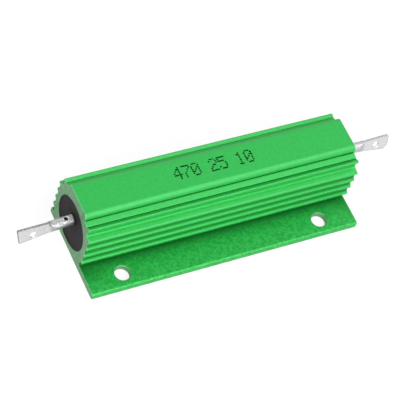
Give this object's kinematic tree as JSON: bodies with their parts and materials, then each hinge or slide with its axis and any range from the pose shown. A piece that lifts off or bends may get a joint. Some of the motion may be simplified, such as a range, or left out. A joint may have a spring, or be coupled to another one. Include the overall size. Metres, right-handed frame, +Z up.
{
  "type": "aluminium housed resistor",
  "caption": "Wirewound power resistor in a finned green anodised aluminium housing, with a mounting flange along one side and a flat pierced terminal at each end.",
  "frame": {"origin": "middle of the housing's footprint, on its underside", "axes": "+X along the housing, +Z up away from the mounting surface, and the flange reaches towards -Y"},
  "size_m": [0.1253, 0.0318, 0.0224],
  "materials": {
    "anodised_aluminium": "satin green anodised extrusion with sawn ends",
    "moulding_compound": "matt dark grey moulded compound",
    "ceramic": "unglazed white ceramic",
    "resistance_wire": "bare resistance alloy wire",
    "cap_steel": "plain drawn steel",
    "tinned_metal": "dull tin plate"
  },
  "bodies": {
    "root": {"housing": "anodised_aluminium", "moulding_compound": "moulding_compound", "ceramic_core": "ceramic", "resistance_winding": "resistance_wire", "end_cap_left": "cap_steel", "end_cap_right": "cap_steel", "cap_pin_left": "cap_steel", "cap_pin_right": "cap_steel", "terminal_left": "tinned_metal", "terminal_right": "tinned_metal"}
  },
  "joints": []
}
